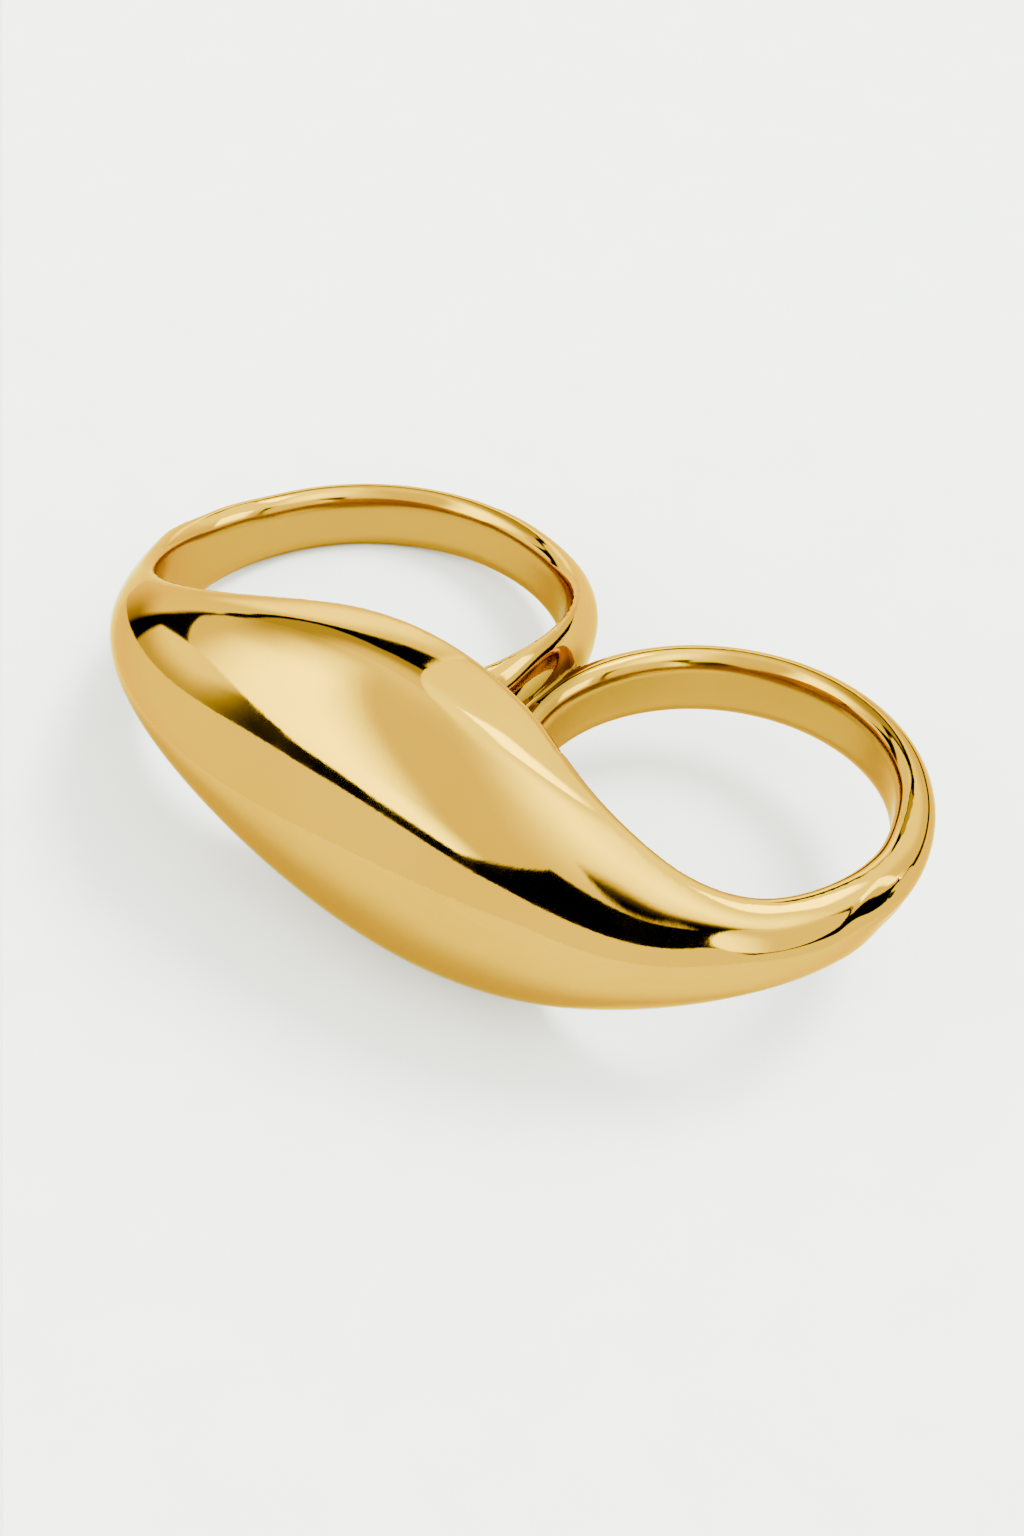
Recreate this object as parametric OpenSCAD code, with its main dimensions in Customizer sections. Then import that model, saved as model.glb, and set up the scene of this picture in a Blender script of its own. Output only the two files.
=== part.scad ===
// Double finger ring: two round finger bands side by side, carrying one long swelling dome
// across their fronts. Cast in one piece and polished all over.
// It is drawn level first: X runs along the pair of bands, -Y is the dome's front and Z is
// the finger axis, with the origin midway between the two finger holes. Then it is laid down
// on its side, as it rests by itself on a table: on the dome's lower edge and the left band.

/* [Finger holes] */
// diameter of the larger finger hole, on the left
left_bore_d = 18.2; // [16.6:0.2:18.6]
// diameter of the smaller finger hole, on the right
right_bore_d = 15.2; // [14.6:0.2:17]
// distance between the two hole centres
bore_spacing = 19; // [18.6:0.2:20]

/* [Bands] */
// width of each band along the finger
band_w = 3.2; // [2.6:0.1:4]
// thickness of each band, from the finger hole outward
band_t = 1.7; // [1.4:0.1:2]
// how much taller the left band grows on its upper side where it runs into the dome
flare = 1.6; // [0:0.1:2]
// rounding along the edges of the finger holes
edge_r = 0.5; // [0.3:0.1:0.6]

/* [Dome] */
// half of the dome's height at its middle
dome_half_h = 7.3; // [6.5:0.1:8]
// how far the dome's middle reaches forward of its widest plane
dome_front = 4.5; // [4:0.1:5]
// how far the dome's middle tapers away behind its widest plane
dome_back = 7; // [6:0.25:8]
// place of the dome's widest plane in front of the line of the hole centres, at the middle
dome_plane = 9.2; // [8.8:0.1:9.8]
// how boxy the dome's section is toward the front, 2 is an ellipse
fullness = 1.7; // [1.5:0.05:2.2]
// height of the dome's middle line above the level line on its left half
left_lift = 3.4; // [0:0.1:3.6]
// drop of the dome's middle line under the level line on its right half
right_drop = 1.8; // [0:0.1:2]
// radius of the rounded back that bridges the two finger holes
bridge_r = 16; // [12:1:24]

/* [Hidden] */
$fn = 96;
left_r = left_bore_d / 2;
right_r = right_bore_d / 2;
left_x = -bore_spacing / 2;
right_x = bore_spacing / 2;
half_w = band_w / 2;
gold = [0.93, 0.72, 0.33];

// The dome runs from the outside of the left band to the outside of the right one.
skin = 0.05;
dome_left = left_x - left_r - band_t - skin;
dome_right = right_x + right_r + band_t + skin;
dome_mid = (dome_left + dome_right) / 2;
dome_half_len = (dome_right - dome_left) / 2;

// One row for each 30 degrees of the sweep from the left end (-90) to the right end (90).
// plane, front, back, height: shares of the widest plane's place, of the front and back reach
// and of the half height at the middle. lift: of left_lift, or of right_drop if negative.
SWEEP = [
//   plane   front  back   height  lift
    [-0.09,  1.51,  1.14,  0.14,   0.00],
    [ 0.55,  1.09,  1.10,  0.18,   0.52],
    [ 1.19,  0.78,  0.67,  0.54,   1.00],
    [ 0.96,  1.08,  1.04,  1.18,   0.24],
    [ 0.98,  0.90,  1.19,  0.75,  -0.28],
    [ 0.26,  1.63,  1.25,  0.33,  -1.00],
    [-0.26,  2.71,  1.82,  0.12,   0.00]
];
stations = 40;
section_points = 36;
end_angle = 86;

function column(c) = [for (row = SWEEP) row[c]];
// A smooth curve through a column of rows, by the uniform cubic B-spline.
function padded(v) = concat([2 * v[0] - v[1]], v, [2 * v[len(v) - 1] - v[len(v) - 2]]);
function blend(t) = [pow(1 - t, 3) / 6, (3 * pow(t, 3) - 6 * t * t + 4) / 6,
                     (-3 * pow(t, 3) + 3 * t * t + 3 * t + 1) / 6, pow(t, 3) / 6];
function smooth_at(v, a) =
    let (p = padded(v), s = (a + 90) / 30, i = min(floor(s), len(v) - 2), w = blend(s - i))
    w[0] * p[i] + w[1] * p[i + 1] + w[2] * p[i + 2] + w[3] * p[i + 3];

// Sizes of the dome's section at sweep angle a.
function plane_y_at(a) = -dome_plane * smooth_at(column(0), a);
function front_at(a) = dome_front * smooth_at(column(1), a) * cos(a);
function back_at(a) = dome_back * smooth_at(column(2), a) * cos(a);
function half_h_at(a) = dome_half_h * smooth_at(column(3), a);
lift_rows = [for (l = column(4)) l > 0 ? l * left_lift : l * right_drop];
function mid_z_at(a) = smooth_at(lift_rows, a);

// One point of the section at sweep angle a, going round from the nose over the top.
function dome_point(a, b) =
    let (v = cos(b), power = v > 0 ? fullness : 2,
         reach = v > 0 ? front_at(a) : back_at(a),
         rise = sqrt(max(0, 1 - pow(abs(v), power))) * sign(sin(b)))
    [dome_mid + dome_half_len * sin(a), plane_y_at(a) - reach * v,
     mid_z_at(a) + half_h_at(a) * rise];

angles = [for (i = [0 : stations]) -end_angle + 2 * end_angle * i / stations];
dome_points = [for (a = angles) for (k = [0 : section_points - 1])
                   dome_point(a, 360 * k / section_points)];
ends = [for (a = [-end_angle, end_angle])
            [dome_mid + dome_half_len * sin(a), plane_y_at(a), mid_z_at(a)]];

// The dome as one closed almond, before the finger holes and the gap behind are cut.
module almond() {
    n = section_points;
    last = len(dome_points);
    sides = [for (i = [0 : stations - 1]) for (k = [0 : n - 1])
                 let (p = i * n + k, q = i * n + (k + 1) % n)
                 each [[p, q, p + n], [q, q + n, p + n]]];
    left_end = [for (k = [0 : n - 1]) [last, (k + 1) % n, k]];
    right_end = [for (k = [0 : n - 1])
                     [last + 1, stations * n + k, stations * n + (k + 1) % n]];
    polyhedron(points = concat(dome_points, ends), faces = concat(sides, left_end, right_end));
}

// Centre of the bridge arc, which touches both finger holes from the dome's side.
along = (pow(bore_spacing, 2) + pow(left_r + bridge_r, 2) - pow(right_r + bridge_r, 2))
        / (2 * bore_spacing);
bridge_x = left_x + along;
bridge_y = -sqrt(pow(left_r + bridge_r, 2) - pow(along, 2));
// Where the arc touches the left and the right hole.
touch_left = left_x + along * left_r / (left_r + bridge_r);
touch_right = right_x - (bore_spacing - along) * right_r / (right_r + bridge_r);

// Open space behind the dome and between the two holes.
module gap_behind() {
    tall = 3 * dome_half_h;
    difference() {
        translate([touch_left, -left_r, -tall / 2])
            cube([touch_right - touch_left, 3 * left_r, tall]);
        translate([bridge_x, bridge_y, -tall])
            cylinder(r = bridge_r, h = 2 * tall, $fn = 180);
    }
}

// Section of a band: flat on the finger side with rounded edges, half round outside.
module band_section(r) {
    inner = [for (a = [180 : 15 : 270])
                 [r + edge_r + edge_r * cos(a), -half_w + edge_r + edge_r * sin(a)]];
    outer = [for (a = [-90 : 10 : 90])
                 [r + edge_r + (band_t - edge_r) * cos(a), half_w * sin(a)]];
    top = [for (a = [90 : 15 : 180])
               [r + edge_r + edge_r * cos(a), half_w - edge_r + edge_r * sin(a)]];
    polygon(concat(inner, [for (i = [1 : len(outer) - 2]) outer[i]], top));
}
module band(x, r) {
    translate([x, 0, 0]) rotate_extrude($fn = 96) band_section(r);
}

// The left band swells upward between the two holes, where it runs into the dome.
function on_left_band(a, z) =
    [left_x + (left_r + band_t / 2) * sin(a), -(left_r + band_t / 2) * cos(a), z];
module flare_swell() {
    start = on_left_band(52, flare);
    way = on_left_band(116, 0) - start;
    translate(start)
        rotate([0, acos(way.z / norm(way)), atan2(way.y, way.x)])
            cylinder(r1 = half_w + 0.1, r2 = half_w - 0.3, h = norm(way));
}

module finger_hole(x, r) {
    tall = 3 * dome_half_h;
    translate([x, 0, -tall / 2]) cylinder(r = r, h = tall);
}

// The ring in its level position.
module level_ring() {
    difference() {
        union() {
            difference() {
                almond();
                gap_behind();
            }
            band(left_x, left_r);
            band(right_x, right_r);
            flare_swell();
        }
        finger_hole(left_x, left_r);
        finger_hole(right_x, right_r);
    }
}

// The ring lies on a table where its weight settles: on one point of the dome's lower edge
// and one of the left band, with the right band a little off the table. n is the table's
// upward direction as seen from the level ring, and weight_centre is where its weight is.
weight_centre = [-0.23, -7.15, 0.72];
function unit(v) = v / norm(v);
function lowest_of(points, n) =
    let (heights = [for (p = points) p * n], low = min(heights))
    [for (i = [0 : len(points) - 1]) if (heights[i] == low) points[i]][0];
function lowest_on_band(x, r, n) =
    let (flat = norm([n.x, n.y]), thick = band_t - edge_r,
         q = norm([thick * flat, half_w * n.z]),
         out = r + edge_r + thick * thick * flat / q)
    [x - out * n.x / flat, -out * n.y / flat, -half_w * half_w * n.z / q];
function settled(n, steps) =
    steps == 0 ? n :
    let (d = lowest_of(dome_points, n), way = unit(lowest_on_band(left_x, left_r, n) - d),
         weight = weight_centre - d, next = unit(weight - (weight * way) * way))
    settled(unit(n + 0.25 * (next - n)), steps - 1);
table_up = settled(unit([0.15, -0.15, 0.98]), 24);

// Turns the table's upward direction to +Z, with X staying along the pair of bands.
along_x = unit([1, 0, 0] - table_up.x * table_up);
along_y = cross(table_up, along_x);
function laid(p) = [p * along_x, p * along_y, p * table_up];

// The lying ring's box, so that the origin sits on the table under the box's centre.
function far_on_band(x, r, n) = lowest_on_band(x, r, -n) * n;
function far(n) = max([far_on_band(left_x, left_r, n), far_on_band(right_x, right_r, n),
                       max([for (p = dome_points) p * n])]);
shift = [(far(-along_x) - far(along_x)) / 2, (far(-along_y) - far(along_y)) / 2,
         far(-table_up)];

module ring() {
    color(gold)
        multmatrix([[along_x.x, along_x.y, along_x.z, shift.x],
                    [along_y.x, along_y.y, along_y.z, shift.y],
                    [table_up.x, table_up.y, table_up.z, shift.z],
                    [0, 0, 0, 1]])
            level_ring();
}

ring();
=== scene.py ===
# Double finger ring: two round finger bands side by side and one long swelling dome across
# their fronts, cast in one piece, polished and lying on its side on a pale table.
import math

import bpy
import numpy as np
from mathutils import Matrix, Vector


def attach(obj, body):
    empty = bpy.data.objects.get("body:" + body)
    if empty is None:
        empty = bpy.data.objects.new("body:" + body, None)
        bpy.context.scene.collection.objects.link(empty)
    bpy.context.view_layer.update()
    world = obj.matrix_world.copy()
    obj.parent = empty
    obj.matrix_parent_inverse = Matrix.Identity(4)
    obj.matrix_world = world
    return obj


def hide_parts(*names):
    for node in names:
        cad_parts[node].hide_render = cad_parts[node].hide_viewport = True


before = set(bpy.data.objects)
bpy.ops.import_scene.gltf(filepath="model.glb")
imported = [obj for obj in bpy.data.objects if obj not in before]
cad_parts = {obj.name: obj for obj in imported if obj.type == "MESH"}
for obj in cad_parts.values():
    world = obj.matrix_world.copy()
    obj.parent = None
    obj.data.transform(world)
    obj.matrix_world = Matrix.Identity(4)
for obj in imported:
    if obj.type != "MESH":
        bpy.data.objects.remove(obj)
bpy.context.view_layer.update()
scene = bpy.context.scene


# The ring is one casting in a gold-coloured metal, about 39 mm long: a round band for each
# finger, touching side by side, and a dome that swells across both like a leaning almond.
# Its shape is worked out as one smooth skin in millimetres, so every part flows into the next.
left_bore_r = 9.1
right_bore_r = 7.6
hole_x = 9.5
band_half_w = 1.7
band_t = 1.7
band_edge_r = 0.5

# How much the left band grows taller between the two holes, thicker at its back and taller
# where it leaves the dome, and how much it slims beside the right band. Then how much thicker
# the right band is all round, and how far its upper side sinks at the right.
flare = 2.2
left_swell = 0.1
left_shoulder = 0.4
left_waist = 0.32
right_swell = 0.08
right_hollow = 0.5

dome_half_h = 7.3
dome_front = 4.5
dome_back = 9.8
dome_plane = 9.2
fullness = 1.7
left_lift = 3.4
right_drop = 1.8
bridge_r = 16.0

# Rounding along the rims, and the fillets from the dome into the bands and from band to band.
rim_r = 0.75
dome_fillet = 1.6
band_fillet = 0.35

# Rows from the left end of the dome to the right end: place of its widest plane, front and
# back reach and half height as shares of those at the middle, then the middle line's lift.
sweep = np.array([
    # plane  front  back  height  lift
    [-0.09, 1.51, 0.80, 0.14, 0.00],
    [0.55, 1.09, 0.95, 0.18, 0.52],
    [1.19, 0.78, 0.67, 0.54, 1.00],
    [0.96, 1.08, 1.04, 1.185, 0.27],
    [0.98, 0.90, 1.19, 0.75, -0.28],
    [0.26, 1.63, 1.25, 0.26, -1.00],
    [-0.02, 2.71, 1.30, 0.15, 0.00],
])
row_every = 30
sunk_in = 0.1
dome_left = -hole_x - left_bore_r - band_t + sunk_in
dome_right = hole_x + right_bore_r + band_t - sunk_in
dome_mid = (dome_left + dome_right) / 2
dome_half_len = (dome_right - dome_left) / 2


# A smooth curve through a column of rows, by the uniform cubic B-spline.
def along_sweep(column, turn):
    rows = np.concatenate([[2 * column[0] - column[1]], column, [2 * column[-1] - column[-2]]])
    place = (np.degrees(turn) + 90) / row_every
    i = np.clip(np.floor(place).astype(int), 0, len(column) - 2)
    t = place - i
    return (rows[i] * (1 - t) ** 3 + rows[i + 1] * (3 * t ** 3 - 6 * t * t + 4)
            + rows[i + 2] * (-3 * t ** 3 + 3 * t * t + 3 * t + 1) + rows[i + 3] * t ** 3) / 6


def smooth(t):
    t = np.clip(t, 0, 1)
    return t * t * t * (t * (6 * t - 15) + 10)


# Rises smoothly from 0 at the first value to 1 at the second one.
def eased(value, none, full):
    return smooth((value - none) / (full - none))


# Two bodies as one with a fillet of size k between them. Inside a body its skin is negative.
def joined(a, b, k):
    h = np.maximum(k - np.abs(a - b), 0) / k
    return np.minimum(a, b) - h * h * h * k / 6


# What two bodies share, with its edges rounded to radius r.
def rounded_cut(a, b, r):
    return np.minimum(np.maximum(a, b), -r) + np.hypot(np.maximum(a + r, 0), np.maximum(b + r, 0))


# A power of v that stays smooth through nought.
def softened(v, power):
    soft = 0.2
    start = soft ** power
    return ((v * v + soft * soft) ** (power / 2) - start) / ((1 + soft * soft) ** (power / 2) - start)


# The whole almond. Its front and back halves melt into each other at the widest plane, and
# it fades out under the bands' outsides at its two tips.
def dome_skin(x, y, z):
    tip = 0.9985
    melt, melt_share = 2.0, 0.4
    least, deepest = 0.01, -3
    fade, fade_from, fade_over, tip_slope = 0.8, 0.965, 0.035, 12
    turn = np.arcsin(np.clip((x - dome_mid) / dome_half_len, -tip, tip))
    past_tip = np.abs(x - dome_mid) - dome_half_len * tip
    ahead = -dome_plane * along_sweep(sweep[:, 0], turn) - y
    front = dome_front * along_sweep(sweep[:, 1], turn) * np.cos(turn)
    rear = dome_back * along_sweep(sweep[:, 2], turn) * np.cos(turn)
    half_h = dome_half_h * along_sweep(sweep[:, 3], turn)
    lift = np.where(sweep[:, 4] > 0, sweep[:, 4] * left_lift, sweep[:, 4] * right_drop)
    middle = along_sweep(lift, turn)
    share = smooth(0.5 + ahead / (2 * np.minimum(melt, melt_share * front)))
    reach = rear + (front - rear) * share
    boxy = 2 + (fullness - 2) * share
    v = np.abs(ahead) / reach
    w = np.abs(z - middle) / half_h
    taper = 1 + share
    whole = softened(v, boxy) + softened(w, taper)
    steep = np.sqrt((boxy * v / reach) ** 2 + (taper * w ** (taper - 1) / half_h) ** 2 + least)
    fading = fade * smooth((np.abs(x - dome_mid) / dome_half_len - fade_from) / fade_over)
    return np.maximum((whole - 1) / steep, deepest) + fading + np.maximum(past_tip, 0) * tip_slope


# One band, half round outside. Turn goes round its hole in degrees, from 0 at the dome's
# side to 90 at the right, and each change eases in between the two angles given.
def band_skin(x, y, z, centre, r):
    tiny = 1e-9
    out = np.hypot(x - centre, y) - r - band_edge_r
    turn = np.degrees(np.arctan2(x - centre, -y))
    if centre < 0:
        lift = flare * eased(turn, 172, 72) * eased(turn, -5, 35)
        thick = band_t - band_edge_r + left_swell * eased(turn, 125, 150)
        thick = thick - left_waist * eased(turn, 70, 95) * eased(turn, 135, 110)
        lift = lift + left_shoulder * eased(turn, -60, -85) * eased(turn, -120, -88)
    else:
        lift = -right_hollow * eased(turn, 20, 55) * eased(turn, 125, 90)
        thick = band_t - band_edge_r + right_swell
    half_w = band_half_w + 0.5 * lift
    z = z - 0.5 * lift
    whole = np.sqrt((np.maximum(out, 0) / thick) ** 2 + (z / half_w) ** 2 + tiny)
    return (whole - 1) * np.minimum(thick, half_w)


# The wall behind the dome is an arc that touches both finger holes from the dome's side.
reach_left = left_bore_r + bridge_r
reach_right = right_bore_r + bridge_r
along = (4 * hole_x ** 2 + reach_left ** 2 - reach_right ** 2) / (4 * hole_x)
bridge_x = along - hole_x
bridge_y = -math.sqrt(reach_left ** 2 - along ** 2)


# The round body in front of that wall, which the dome is cut to. The wall runs flush into both
# holes where it touches them, and past those points the body widens so that it cuts nothing.
def front_of_wall(x, y):
    spread = 3
    arc = np.hypot(x - bridge_x, y - bridge_y) - bridge_r
    left_way = np.array([-hole_x - bridge_x, -bridge_y])
    left_way = left_way / np.hypot(*left_way)
    right_way = np.array([hole_x - bridge_x, -bridge_y])
    right_way = right_way / np.hypot(*right_way)
    past_left = left_way[0] * (y - bridge_y) - left_way[1] * (x - bridge_x)
    past_right = right_way[1] * (x - bridge_x) - right_way[0] * (y - bridge_y)
    off_left = np.hypot(x + hole_x, y) - left_bore_r
    off_right = np.hypot(x - hole_x, y) - right_bore_r
    turned_in = rim_r - np.clip(np.minimum(off_left, off_right), 0, rim_r)
    flush = rim_r - np.sqrt(rim_r ** 2 - turned_in ** 2)
    return arc - flush - spread * (np.maximum(past_left, 0) + np.maximum(past_right, 0))


def ring_skin(p):
    x, y, z = p[..., 0], p[..., 1], p[..., 2]
    dome = rounded_cut(dome_skin(x, y, z), front_of_wall(x, y), rim_r)
    bands = joined(band_skin(x, y, z, -hole_x, left_bore_r),
                   band_skin(x, y, z, hole_x, right_bore_r), band_fillet)
    body = joined(dome, bands, dome_fillet)
    body = rounded_cut(body, left_bore_r - np.hypot(x + hole_x, y), rim_r)
    return rounded_cut(body, right_bore_r - np.hypot(x - hole_x, y), rim_r)


def slope(p):
    step = 0.004
    parts = []
    for axis in range(3):
        shift = np.zeros(3)
        shift[axis] = step
        parts.append((ring_skin(p + shift) - ring_skin(p - shift)) / (2 * step))
    return np.stack(parts, -1)


# A grid of cubes through a box with a little room round the ring.
pitch = 0.21
room = 0.8
front_y, back_y = -14.6, 11.6
under_z, over_z = -7.6, 9.2
low = np.array([dome_left - room, front_y, under_z])
high = np.array([dome_right + room, back_y, over_z])
counts = np.ceil((high - low) / pitch).astype(int) + 1
grid = np.stack(np.meshgrid(*[low[i] + pitch * np.arange(counts[i]) for i in range(3)],
                            indexing="ij"), -1)
height = ring_skin(grid)
inside = height < 0

# Every cube that the skin passes through gets one point, at the mean of its crossings.
full = inside[:-1, :-1, :-1].astype(int)
for dx, dy, dz in ((1, 0, 0), (0, 1, 0), (0, 0, 1), (1, 1, 0), (1, 0, 1), (0, 1, 1), (1, 1, 1)):
    full = full + inside[dx:dx + counts[0] - 1, dy:dy + counts[1] - 1, dz:dz + counts[2] - 1]
crossed = (full > 0) & (full < 8)
cell = np.argwhere(crossed)
number = np.full(crossed.shape, -1)
number[crossed] = np.arange(len(cell))
total = np.zeros((len(cell), 3))
hits = np.zeros(len(cell))
for axis in range(3):
    others = [a for a in range(3) if a != axis]
    for u in (0, 1):
        for v in (0, 1):
            first = cell.copy()
            first[:, others[0]] += u
            first[:, others[1]] += v
            second = first.copy()
            second[:, axis] += 1
            a = height[tuple(first.T)]
            b = height[tuple(second.T)]
            hit = (a < 0) != (b < 0)
            share = np.where(hit, a / np.where(hit, a - b, 1), 0)
            at = first.astype(float)
            at[:, axis] += share
            total += np.where(hit[:, None], at, 0)
            hits += hit
points = low + pitch * total / hits[:, None]

# Four cubes round each crossed edge of the grid make one face.
faces = []
for axis in range(3):
    u, v = [(1, 2), (2, 0), (0, 1)][axis]
    ahead = [slice(None)] * 3
    behind = [slice(None)] * 3
    ahead[axis] = slice(1, None)
    behind[axis] = slice(None, -1)
    turns = np.argwhere(inside[tuple(behind)] != inside[tuple(ahead)])
    turns = turns[(turns[:, u] > 0) & (turns[:, v] > 0)]
    leaving = inside[tuple(turns.T)]
    ring_of = []
    for du, dv in ((-1, -1), (0, -1), (0, 0), (-1, 0)):
        near = turns.copy()
        near[:, u] += du
        near[:, v] += dv
        ring_of.append(number[tuple(near.T)])
    quads = np.stack(ring_of, -1)
    quads[~leaving] = quads[~leaving][:, ::-1]
    faces.append(quads)
faces = np.concatenate(faces)

# The points are drawn onto the skin along its slope, in short steps.
rounds = 5
longest = 0.3 * pitch
gentlest = 0.05
for _ in range(rounds):
    lean = slope(points)
    steep = np.maximum((lean * lean).sum(-1), gentlest)
    move = -(ring_skin(points) / steep)[:, None] * lean
    points = points + np.clip(move, -longest, longest)
upright = slope(points)
upright = upright / np.linalg.norm(upright, axis=-1, keepdims=True)

# The ring was drawn level, with the pair of bands along X, the dome's front toward -Y and the
# finger holes along Z. It lies down on its dome's lower edge and its left band, as its weight
# settles. The point midway between the hole centres then stands at between_holes, in metres.
lean_back = math.radians(8.541)
lean_side = math.radians(8.782)
between_holes = Vector((0.7187, 1.4260, 5.0678)) * 0.001
table_up = Vector((math.sin(lean_side), -math.sin(lean_back) * math.cos(lean_side),
                   math.cos(lean_back) * math.cos(lean_side)))
along_x = (Vector((1, 0, 0)) - table_up.x * table_up).normalized()
along_y = table_up.cross(along_x)
laid = Matrix((along_x, along_y, table_up))
turned = np.array(laid)
places = points @ turned.T * 0.001 + np.array(between_holes)
facing = upright @ turned.T

mesh = bpy.data.meshes.new("ring_skin")
mesh.vertices.add(len(places))
mesh.vertices.foreach_set("co", places.ravel())
mesh.loops.add(faces.size)
mesh.loops.foreach_set("vertex_index", faces.ravel())
mesh.polygons.add(len(faces))
mesh.polygons.foreach_set("loop_start", np.arange(0, faces.size, 4))
mesh.polygons.foreach_set("use_smooth", np.ones(len(faces), bool))
mesh.update(calc_edges=True)
mesh.validate()
mesh.normals_split_custom_set_from_vertices(facing.tolist())

# Where the skin is a finger hole's wall, as 1 on the wall and 0 beyond its edge.
wall_edge = 0.25
off_left = np.hypot(points[:, 0] + hole_x, points[:, 1]) - left_bore_r
off_right = np.hypot(points[:, 0] - hole_x, points[:, 1]) - right_bore_r
on_wall = 1 - smooth(np.minimum(np.abs(off_left), np.abs(off_right)) / wall_edge)
mesh.attributes.new("on_wall", "FLOAT", "POINT").data.foreach_set("value", on_wall)

# The narrow cleft between the two bands, as 1 where they meet and 0 where they stand apart. It places the
# painted shade in the cleft.
meet = 0.1
part_over = 1.1
x, y, z = points.T
to_left = band_skin(x, y, z, -hole_x, left_bore_r)
to_right = band_skin(x, y, z, hole_x, right_bore_r)
cleft = 1 - smooth((np.maximum(to_left, to_right) - meet) / part_over)
mesh.attributes.new("cleft", "FLOAT", "POINT").data.foreach_set("value", cleft)
ring = bpy.data.objects.new("ring_polished", mesh)
scene.collection.objects.link(ring)


# Shader maths as plain expressions: a Value wraps a socket or a number, and its operators
# lay down the maths nodes.
class Value:
    tree = None

    def __init__(self, source):
        self.source = source

    @staticmethod
    def node(kind, settings=None, out=0, **values):
        made = Value.tree.nodes.new(kind)
        for name, setting in (settings or {}).items():
            setattr(made, name, setting)
        for name, value in values.items():
            key = int(name[1:]) if name[0] == "i" and name[1:].isdigit() else name.replace("_", " ")
            Value.put(made.inputs[key], value)
        return Value(made.outputs[out])

    @staticmethod
    def put(socket, value):
        value = value.source if isinstance(value, Value) else value
        if isinstance(value, bpy.types.NodeSocket):
            Value.tree.links.new(value, socket)
        else:
            socket.default_value = value

    def maths(self, operation, other=0.0):
        return Value.node("ShaderNodeMath", {"operation": operation}, i0=self, i1=other)

    def __add__(self, other):
        return self.maths("ADD", other)

    def __sub__(self, other):
        return self.maths("SUBTRACT", other)

    def __mul__(self, other):
        return self.maths("MULTIPLY", other)

    def __truediv__(self, other):
        return self.maths("DIVIDE", other)

    def __rsub__(self, other):
        return Value(other).maths("SUBTRACT", self)

    __radd__ = __add__
    __rmul__ = __mul__

    def ramp(self, low, high):
        return Value.node("ShaderNodeMapRange", {"interpolation_type": "SMOOTHSTEP"},
                          Value=self, From_Min=low, From_Max=high)

    def mix(self, first, second):
        return Value.node("ShaderNodeMix", {"data_type": "RGBA"}, out=2, i0=self, i6=first, i7=second)


# Polished yellow gold: warm in its reflections, with the faint haze and hairline scratches
# that a polished ring picks up in wear. The walls of the finger holes are satin and carry
# painted shade, a darker gold inside the holes, and the cleft between the bands is painted dark as
# painted shade.
deep_gold = (0.37, 0.202, 0.002, 1)
pale_gold = (0.39, 0.214, 0.003, 1)
# Darker gold for the hole walls: painted shade inside the finger holes.
shaded_wall_gold = (0.30, 0.155, 0.002, 1)
# Near-black gold for the cleft: painted shade where the two bands meet.
cleft_shade_gold = (0.14, 0.08, 0.003, 1)
grazing_gold = (0.75, 0.55, 0.02, 1)
polish = 0.035
hazier = 0.03
wall_satin = 0.16

gold = bpy.data.materials.new("polished_gold")
gold.use_nodes = True
Value.tree = gold.node_tree
Value.tree.nodes.clear()
where = Value.node("ShaderNodeTexCoord", out=3)
haze = Value.node("ShaderNodeTexNoise", Vector=where, Scale=900.0, Detail=4.0)
cloud = Value.node("ShaderNodeTexNoise", Vector=where, Scale=160.0, Detail=3.0)
hair = Value.node("ShaderNodeTexNoise", Vector=where, Scale=4200.0, Detail=2.0)
metal = Value.node("ShaderNodeBsdfPrincipled", Metallic=1.0, Specular_Tint=grazing_gold)
shader = metal.source.node
wall = Value.node("ShaderNodeAttribute", {"attribute_name": "on_wall"}, out=2)
cleft_shade_mask = Value.node("ShaderNodeAttribute", {"attribute_name": "cleft"}, out=2)
# The hole walls get painted shade in the base colour, on top of their satin roughness.
outside = wall.mix(cloud.ramp(0.35, 0.65).mix(deep_gold, pale_gold), shaded_wall_gold)
# The cleft gets painted shade over the rest of the base colour.
Value.put(shader.inputs["Base Color"], cleft_shade_mask.mix(outside, cleft_shade_gold))
Value.put(shader.inputs["Roughness"], polish + hazier * haze.ramp(0.4, 0.7) + wall_satin * wall)
bump = Value.node("ShaderNodeBump", Strength=0.04, Distance=0.00002, Height=hair)
Value.put(shader.inputs["Normal"], bump)
sink = Value.tree.nodes.new("ShaderNodeOutputMaterial")
Value.put(sink.inputs["Surface"], metal)
mesh.materials.append(gold)
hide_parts("ring")
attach(ring, "root")


# The camera looks from the photo's side: turned from the dome's front toward the smaller
# hole, and well above the ring's level. It is placed round the level ring, in metres, and
# then laid down with it.
camera_turn = math.radians(36.03)
camera_height = math.radians(39.19)
camera_roll = math.radians(1.79)
camera_far = 0.0967
aim_right = 0.00076
aim_up = 0.0026
lens_mm = 51.56
film_mm = 36

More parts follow.
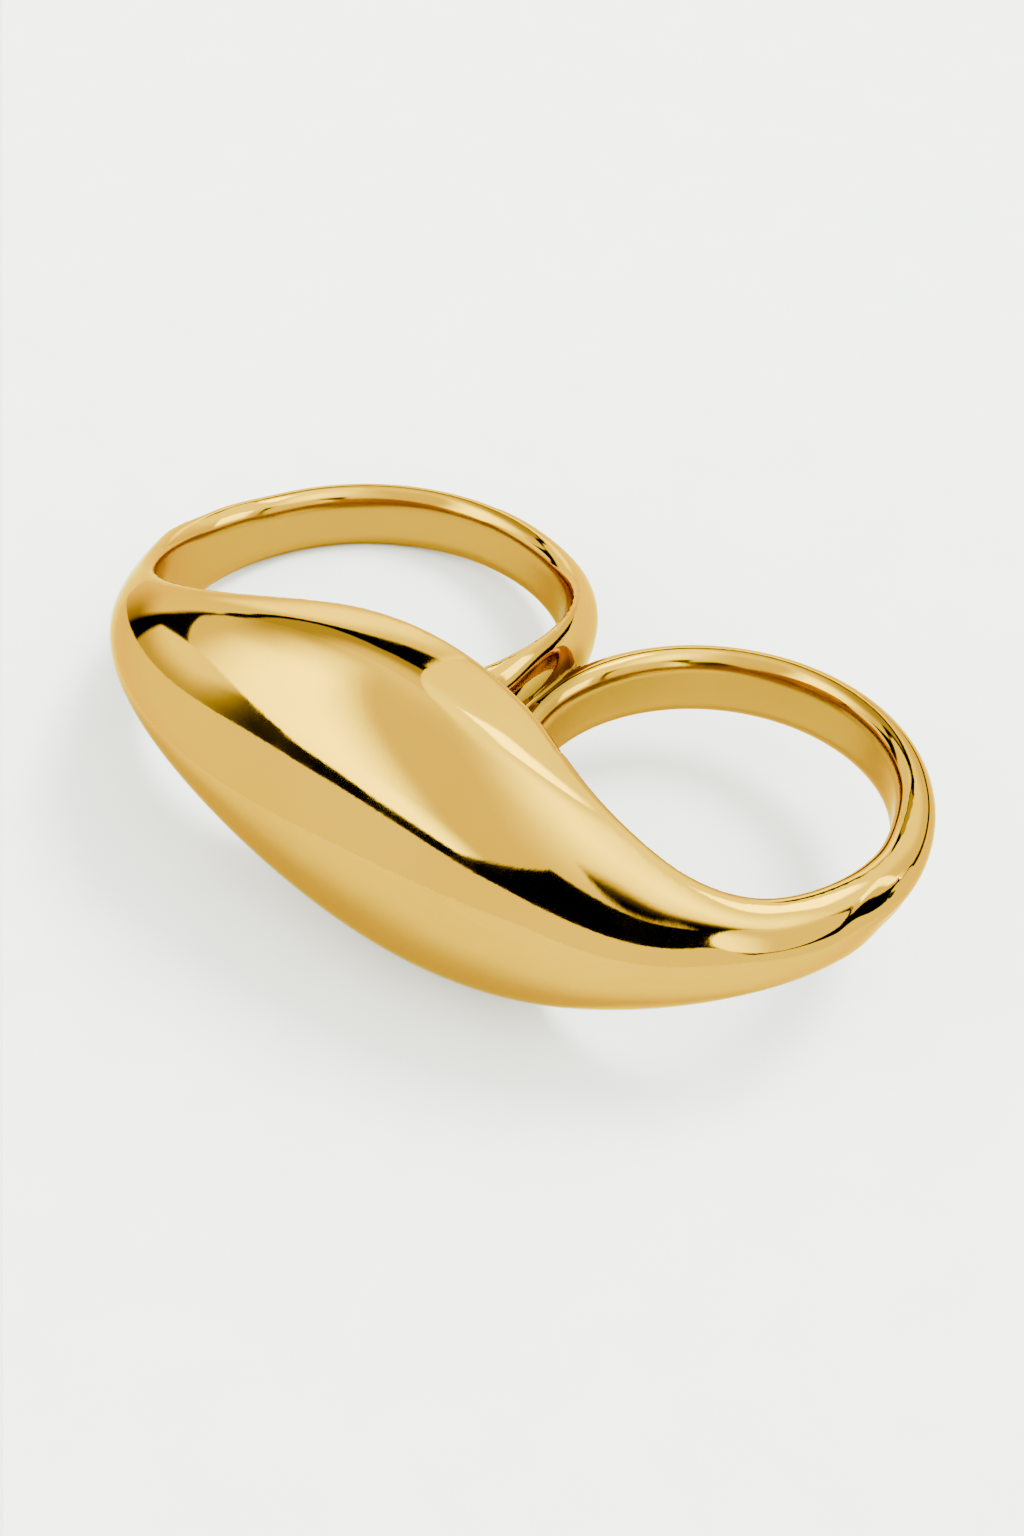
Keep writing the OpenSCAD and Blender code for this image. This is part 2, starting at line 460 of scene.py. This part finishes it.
back = Vector((math.sin(camera_turn) * math.cos(camera_height),
               -math.cos(camera_turn) * math.cos(camera_height), math.sin(camera_height)))
right = Vector((math.cos(camera_turn), math.sin(camera_turn), 0))
up = back.cross(right)
right, up = (math.cos(camera_roll) * right + math.sin(camera_roll) * up,
             math.cos(camera_roll) * up - math.sin(camera_roll) * right)
stand = back * camera_far - right * aim_right - up * aim_up
view = Matrix((right, up, back)).transposed().to_4x4()
lens = bpy.data.cameras.new("camera")
lens.lens = lens_mm
lens.sensor_width = film_mm
lens.clip_start = 0.002
lens.clip_end = 10
camera = bpy.data.objects.new("camera", lens)
as_it_lies = Matrix.Translation(between_holes) @ laid.to_4x4()
camera.matrix_world = as_it_lies @ Matrix.Translation(stand) @ view
scene.collection.objects.link(camera)
scene.camera = camera


# The table is a plain matt white top, in metres. It fills the picture and ends just outside
# it at both sides, so that the ring mirrors the room's black gaps beyond.
near_edge = -0.050
far_edge = 0.100
left_width = 0.0237
right_width = 0.0262
widening = 0.177
deep = (laid @ Vector((-back.x, -back.y, 0))).to_2d().normalized()
wide = Vector((deep.y, -deep.x))
corners = []
for half_width, depth in ((-left_width, near_edge), (right_width, near_edge),
                          (right_width, far_edge), (-left_width, far_edge)):
    corner = deep * depth + wide * (half_width + math.copysign(widening, half_width) * depth)
    corners.append((corner.x + between_holes.x, corner.y + between_holes.y, 0))
table = bpy.data.meshes.new("table")
table.from_pydata(corners, [], [(0, 1, 2, 3)])
table_top = bpy.data.objects.new("table", table)
scene.collection.objects.link(table_top)

white_low = (0.64, 0.632, 0.632, 1)
white_high = (0.66, 0.652, 0.652, 1)
white = bpy.data.materials.new("matt_white")
white.use_nodes = True
Value.tree = white.node_tree
matt = white.node_tree.nodes["Principled BSDF"]
matt.inputs["Roughness"].default_value = 0.9
matt.inputs["Specular IOR Level"].default_value = 0.1
speck = Value.node("ShaderNodeTexNoise", Vector=Value.node("ShaderNodeTexCoord", out=3), Scale=300.0)
Value.put(matt.inputs["Base Color"], speck.ramp(0.3, 0.7).mix(white_low, white_high))
table.materials.append(white)


# The studio round the table, as the polished ring mirrors it: a white floor up to just under
# its level line, a thin black gap, and softboxes above it. Turn is the direction round the
# finger axis in degrees, 0 toward the dome's front and 90 toward the smaller hole, and rise
# is the height above the ring's level, in degrees too. Every tone is a brightness.
floor_tone = 4.3
seam = 165
world = bpy.data.worlds.new("studio")
world.use_nodes = True
scene.world = world
Value.tree = world.node_tree
Value.tree.nodes.clear()
way = Value.node("ShaderNodeTexCoord", out=0)
level_x, level_y, level_z = [
    Value.node("ShaderNodeVectorMath", {"operation": "DOT_PRODUCT"}, out=1, i0=way, i1=laid.col[i])
    for i in range(3)]
turn = level_x.maths("ARCTAN2", -1 * level_y) * (180 / math.pi)
turn = (turn + seam).maths("FLOORED_MODULO", 360) - seam
rise = level_z.maths("ARCSINE") * (180 / math.pi)


# 1 from the low angle to the high one, with both edges as soft as the last number.
def between(angle, low, high, soft):
    return angle.ramp(low - soft / 2, low + soft / 2) * (1 - angle.ramp(high - soft / 2, high + soft / 2))


def over(first, second, share):
    return first * (1 - share) + second * share


# The floor's far edge, which dips toward both ends of the room.
far_left = (turn + 60).maths("MINIMUM", 0)
horizon = -5 - 0.0042 * far_left * far_left - 15 * turn.ramp(48, 62) + 12 * turn.ramp(115, 150)
horizon = horizon - 1.5 * between(turn, -24, 8, 14)

# The main box hangs over the front: an even middle tone, a bright ridge whose foot leans to
# the right, a dimmer upper left and a paler right side.
main_tone, ridge_tone, top_tone, pale_tone = 3.6, 10.5, 1.2, 2.2
edge = 10 - rise
edge = turn + 8 - (0.45 * edge).maths("MAXIMUM", 1.4 * edge)
ridge = edge.ramp(-58, -12) * (1 - edge.ramp(-8, 13)) * (1 - rise.ramp(40, 72))
dim = between(turn, -160, -52, 40) * between(rise, 40, 64, 14)
pale = turn.ramp(18, 48) * rise.ramp(10, 36)
main = main_tone + ridge_tone * ridge + top_tone * rise.ramp(55, 80) + pale_tone * pale
main = main * (1 - 0.5 * dim)

# A black wedge stands on the gap, right of the dome's middle.
wedge = ((turn - 4) * 0.7).maths("MINIMUM", 21 - (turn - 34) * 0.3)
gap_top = wedge.maths("MAXIMUM", -1.2 - 0.35 * (turn + 12).maths("MINIMUM", 0))
front = main * (rise - gap_top).ramp(-0.8, 0.8)

# The long low box at the left grows brighter upward and fades out toward its right end.
low_tone, low_rise_tone = 2, 3.4
low_top = 18.5 - 0.0125 * (turn + 57) * (turn + 57)
low_box = turn.ramp(-87, -84) * (1 - turn.ramp(-24, -18)) * (1 - (rise - low_top).ramp(-0.8, 0.8))
fade = turn.ramp(-50, -28) * (1 - (rise - 0.35 * (turn + 57)).ramp(0, 9))
front = over(front, (low_tone + low_rise_tone * rise.ramp(-4, 12)) * (1 - 0.97 * fade), low_box)

# A round box stands at the right end, brightest at its left edge, in front of black.
round_tone, round_edge_tone, round_r = 4.2, 7, 25
across = (turn - 75.5) / round_r
upward = (rise - 7 - 0.25 * (turn - 75)) / round_r
round_box = 1 - (across * across + upward * upward).ramp(0.93, 1.07)
round_edge = (1 - across.ramp(-0.9, -0.3)) * (1 - rise.ramp(8, 26))
front = front * (1 - between(turn, 49, 104, 3) * (1 - rise.ramp(26, 34)))
front = over(front, round_tone + round_edge_tone * round_edge, round_box)

# The high lights over the right end and behind. The strongest one throws the soft shadow
# forward, and shows softer in the metal than it lights the table.
wash_tone, key_tone, key_in_metal, bar_tone = 7, 80, 11, 10
mirrored = Value.node("ShaderNodeLightPath", out=3)
key = over(Value(key_tone), Value(key_in_metal), mirrored)
high_lights = wash_tone * between(turn, 56, 84, 44) * between(rise, 34, 64, 24)
high_lights = high_lights + key * between(turn, 112, 164, 8) * between(rise, 56, 72, 5)
front = front + high_lights + bar_tone * between(turn, 112, 134, 4) * between(rise, 8, 28, 4)

# Behind the left end, past a black post, a tall box stands in its own black frame.
back_tone, back_spot_tone, upper_tone, strip_tone = 4.4, 4, 2.9, 5
post = turn + 94.8 - 0.22 * rise
box_top = 38 - 6 * turn.ramp(-100, -91)
back_box = (1 - post.ramp(-4, 0)) * turn.ramp(-166, -163) * (1 - (rise - box_top).ramp(-1, 1))
back_light = back_tone + back_spot_tone * between(turn, -160, -120, 16) * between(rise, 16, 32, 10)
back_light = back_light * (1 - 0.8 * post.ramp(-22, -2) * (1 - rise.ramp(-6, 8)))
frame_top = 43 + 9 * (1 - turn.ramp(-150, -126)) - 3 * turn.ramp(-96, -88)
upper = upper_tone * (1 - 0.5 * between(rise, 40, 64, 14)) + top_tone * rise.ramp(55, 80)
behind = over(back_light * back_box, upper, (rise - frame_top).ramp(-1.2, 1.2))
behind = behind + strip_tone * (1 - turn.ramp(-165, -163)) * between(rise, 20, 46, 3)

# The camera itself sees only the plain floor tone beyond the table. Dim tones are warmer.
warm = (1, 0.95, 0.85, 1)
clear = (0.97, 1.1, 1, 1)
seen = Value.node("ShaderNodeLightPath", out=0)
light = over(front, behind, 1 - turn.ramp(-88.5, -85.5))
light = over(Value(floor_tone), light, (rise - horizon).ramp(-0.3, 0.3))
light = over(light, Value(floor_tone), seen)
tint = light.ramp(1.5, 8).mix(warm, clear)
glow = Value.node("ShaderNodeBackground", Color=tint, Strength=light)
sink = Value.tree.nodes.new("ShaderNodeOutputWorld")
Value.put(sink.inputs["Surface"], glow)
